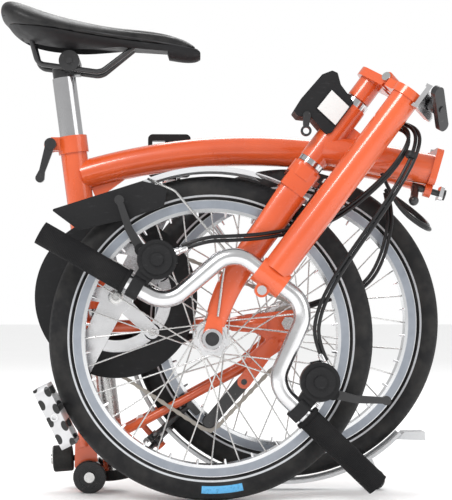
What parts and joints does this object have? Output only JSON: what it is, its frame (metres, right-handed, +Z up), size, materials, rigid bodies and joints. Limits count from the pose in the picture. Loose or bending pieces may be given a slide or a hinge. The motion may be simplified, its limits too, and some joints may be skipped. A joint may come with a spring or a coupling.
{
  "type": "folding bicycle",
  "caption": "Small-wheeled folding bicycle, folded: arched frame, swinging rear triangle on floor rollers, hinged front end with wheel alongside, folded handlepost and lowered saddle.",
  "frame": {"origin": "centre of the bounding box's footprint, on the floor under the folded bicycle", "axes": "+X from the saddle's tail towards the folded frame hinge, +Y away from the side that the front wheel folds to, +Z up"},
  "size_m": [0.5935, 0.3096, 0.662],
  "materials": {
    "orange_paint": "gloss enamel over brazed steel",
    "bright_steel": "plated steel",
    "silver_alloy": "polished alloy",
    "black_paint": "satin black paint",
    "chain_steel": "oiled steel",
    "black_plastic": "moulded plastic",
    "saddle_skin": "padded synthetic leather",
    "black_rubber": "soft foam rubber",
    "tyre": "tread rubber",
    "guard_white": "silver-white laminate"
  },
  "bodies": {
    "main_frame": {"main_frame": "orange_paint", "bottom_bracket_cups": "silver_alloy", "seat_clamp": "black_paint", "frame_pins": "bright_steel", "chain": "chain_steel", "frame_cables": "black_plastic"},
    "seatpost": {"seatpost": "bright_steel", "seatpost_lower": "bright_steel", "saddle_clamp": "black_paint", "saddle_rails": "bright_steel", "saddle_base": "black_plastic", "saddle_cover": "saddle_skin"},
    "seat_clamp_lever": {"seat_clamp_lever": "black_paint"},
    "front_frame": {"front_frame": "orange_paint", "headset_cups": "silver_alloy", "carrier_block": "black_plastic", "hinge_clamp_plate": "silver_alloy"},
    "hinge_clamp_lever": {"hinge_clamp_lever": "black_paint"},
    "carrier_lever": {"carrier_lever": "black_paint"},
    "fork": {"fork": "orange_paint", "stem_base": "orange_paint", "stem_hinge_pin": "bright_steel", "front_axle": "bright_steel", "front_mudguard": "guard_white"},
    "front_brake_near": {"front_brake_arm_near": "black_paint"},
    "front_brake_far": {"front_brake_arm_far": "black_paint"},
    "front_wheel": {"front_tyre": "tyre", "front_rim": "silver_alloy", "front_spokes": "bright_steel", "front_hub": "silver_alloy"},
    "handlepost": {"handlepost": "orange_paint", "handlebar": "silver_alloy", "grips": "black_rubber", "lever_brackets": "black_plastic", "stem_clamp_plate": "silver_alloy", "bar_cables": "black_plastic"},
    "left_brake_lever": {"left_brake_lever": "black_paint"},
    "right_brake_lever": {"right_brake_lever": "black_paint"},
    "stem_clamp_lever": {"stem_clamp_lever": "black_paint"},
    "rear_frame": {"rear_frame": "orange_paint", "rear_axles": "bright_steel", "suspension_block": "black_rubber", "rear_mudguard": "guard_white", "pump": "black_plastic"},
    "rear_brake_near": {"rear_brake_arm_near": "black_paint"},
    "rear_brake_far": {"rear_brake_arm_far": "black_paint"},
    "rear_wheel": {"rear_tyre": "tyre", "rear_rim": "silver_alloy", "rear_spokes": "bright_steel", "rear_hub": "silver_alloy"},
    "yoke_rollers": {"yoke_rollers": "black_plastic"},
    "guard_roller": {"guard_roller": "black_plastic"},
    "tensioner": {"tensioner_arm": "black_paint"},
    "jockey": {"jockey_wheel": "black_plastic"},
    "crankset": {"right_crank": "silver_alloy", "left_crank": "silver_alloy", "chainring": "black_plastic"},
    "right_pedal": {"right_pedal": "silver_alloy"},
    "left_pedal_spindle": {"left_pedal_spindle": "silver_alloy"},
    "left_pedal": {"left_pedal": "black_plastic"}
  },
  "joints": [
    {"name": "main_hinge", "type": "hinge", "parent": "main_frame", "child": "front_frame", "pos_m": [0.27725, 0.01228, 0.43], "axis": [0.2756, 0, 0.9613], "range_deg": [0, 110], "deforming": ["frame_cables"]},
    {"name": "steering", "type": "hinge", "parent": "front_frame", "child": "fork", "pos_m": [0.10825, -0.04522, 0.431], "axis": [0.6, 0, 0.8], "range_deg": [-5, 5]},
    {"name": "front_wheel_spin", "type": "hinge", "parent": "fork", "child": "front_wheel", "pos_m": [-0.01675, -0.04522, 0.2095], "axis": [0, 1, 0], "continuous": true},
    {"name": "stem_hinge", "type": "hinge", "parent": "fork", "child": "handlepost", "pos_m": [0.21805, -0.07147, 0.53365], "axis": [-0.5657, -0.7071, 0.4243], "range_deg": [0, 180], "deforming": ["bar_cables"]},
    {"name": "stem_clamp_turn", "type": "hinge", "parent": "handlepost", "child": "stem_clamp_lever", "pos_m": [0.26116, -0.12535, 0.50132], "axis": [-0.5657, 0.7071, 0.4243], "range_deg": [0, 90]},
    {"name": "left_brake_lever_pull", "type": "hinge", "parent": "handlepost", "child": "left_brake_lever", "pos_m": [-0.10695, -0.10522, 0.3224], "axis": [0, -1, 0], "range_deg": [0, 12], "stiffness_Nm_per_rad": 0.6, "springref_deg": -5.73},
    {"name": "right_brake_lever_pull", "type": "hinge", "parent": "handlepost", "child": "right_brake_lever", "pos_m": [0.13625, -0.10522, 0.14], "axis": [0, 1, 0], "range_deg": [0, 12], "stiffness_Nm_per_rad": 0.6, "springref_deg": -5.73},
    {"name": "front_brake_near_swing", "type": "hinge", "parent": "fork", "child": "front_brake_near", "pos_m": [0.12825, -0.04522, 0.401], "axis": [0.8, 0, -0.6], "range_deg": [0, 1.2]},
    {"name": "front_brake_far_swing", "type": "hinge", "parent": "fork", "child": "front_brake_far", "pos_m": [0.12825, -0.04522, 0.401], "axis": [-0.8, 0, 0.6], "range_deg": [0, 1.2]},
    {"name": "rear_pivot", "type": "hinge", "parent": "main_frame", "child": "rear_frame", "pos_m": [-0.19975, 0.06978, 0.222], "axis": [0, 1, 0], "range_deg": [0, 164], "deforming": ["seatpost_lower", "chain"]},
    {"name": "rear_brake_near_swing", "type": "hinge", "parent": "rear_frame", "child": "rear_brake_near", "pos_m": [-0.09075, 0.06978, 0.07], "axis": [0.6639, 0, -0.7479], "range_deg": [0, 1.2]},
    {"name": "rear_brake_far_swing", "type": "hinge", "parent": "rear_frame", "child": "rear_brake_far", "pos_m": [-0.09075, 0.06978, 0.07], "axis": [-0.6639, 0, 0.7479], "range_deg": [0, 1.2]},
    {"name": "rear_wheel_spin", "type": "hinge", "parent": "rear_frame", "child": "rear_wheel", "pos_m": [0.08725, 0.06978, 0.228], "axis": [0, 1, 0], "continuous": true},
    {"name": "yoke_roller_spin", "type": "hinge", "parent": "rear_frame", "child": "yoke_rollers", "pos_m": [-0.17775, 0.06978, 0.022], "axis": [0, 1, 0], "continuous": true},
    {"name": "guard_roller_spin", "type": "hinge", "parent": "rear_frame", "child": "guard_roller", "pos_m": [0.20925, 0.06978, 0.014], "axis": [0, 1, 0], "continuous": true},
    {"name": "tensioner_swing", "type": "hinge", "parent": "rear_frame", "child": "tensioner", "pos_m": [0.02825, 0.06978, 0.15], "axis": [0, 1, 0], "range_deg": [0, 8], "stiffness_Nm_per_rad": 0.2, "springref_deg": -11.46},
    {"name": "jockey_spin", "type": "hinge", "parent": "tensioner", "child": "jockey", "pos_m": [-0.01775, 0.06978, 0.097], "axis": [0, 1, 0], "continuous": true},
    {"name": "seatpost_slide", "type": "slide", "parent": "main_frame", "child": "seatpost", "axis": [-0.1305, 0, 0.9914], "range_m": [0, 0.2]},
    {"name": "seat_clamp_turn", "type": "hinge", "parent": "main_frame", "child": "seat_clamp_lever", "pos_m": [-0.23133, 0.06978, 0.46921], "axis": [0, 1, 0], "range_deg": [0, 100]},
    {"name": "hinge_clamp_turn", "type": "hinge", "parent": "front_frame", "child": "hinge_clamp_lever", "pos_m": [0.26871, -0.04522, 0.4002], "axis": [0.9613, 0, -0.2756], "range_deg": [0, 120]},
    {"name": "carrier_release", "type": "hinge", "parent": "front_frame", "child": "carrier_lever", "pos_m": [0.10525, -0.04522, 0.496], "axis": [0, 1, 0], "range_deg": [0, 20], "stiffness_Nm_per_rad": 0.02},
    {"name": "crank_turn", "type": "hinge", "parent": "main_frame", "child": "crankset", "pos_m": [-0.14175, 0.06978, 0.263], "axis": [0, 1, 0], "range_deg": [0, 65]},
    {"name": "right_pedal_turn", "type": "hinge", "parent": "crankset", "child": "right_pedal", "pos_m": [-0.21654, 0.06978, 0.11034], "axis": [0, 1, 0], "range_deg": [-65, 0]},
    {"name": "left_pedal_turn", "type": "hinge", "parent": "crankset", "child": "left_pedal_spindle", "pos_m": [-0.06696, 0.06978, 0.41567], "axis": [0, 1, 0], "range_deg": [-65, 0]},
    {"name": "left_pedal_fold", "type": "hinge", "parent": "left_pedal_spindle", "child": "left_pedal", "pos_m": [-0.06696, 0.14578, 0.424], "axis": [-1, 0, 0], "range_deg": [0, 90]}
  ],
  "couplings": [
    {"joint": "right_pedal_turn", "follows": "crank_turn", "ratio": -1},
    {"joint": "left_pedal_turn", "follows": "crank_turn", "ratio": -1},
    {"joint": "front_brake_near_swing", "follows": "right_brake_lever_pull", "ratio": 0.1},
    {"joint": "front_brake_far_swing", "follows": "right_brake_lever_pull", "ratio": 0.1},
    {"joint": "rear_brake_near_swing", "follows": "left_brake_lever_pull", "ratio": 0.1},
    {"joint": "rear_brake_far_swing", "follows": "left_brake_lever_pull", "ratio": 0.1}
  ]
}
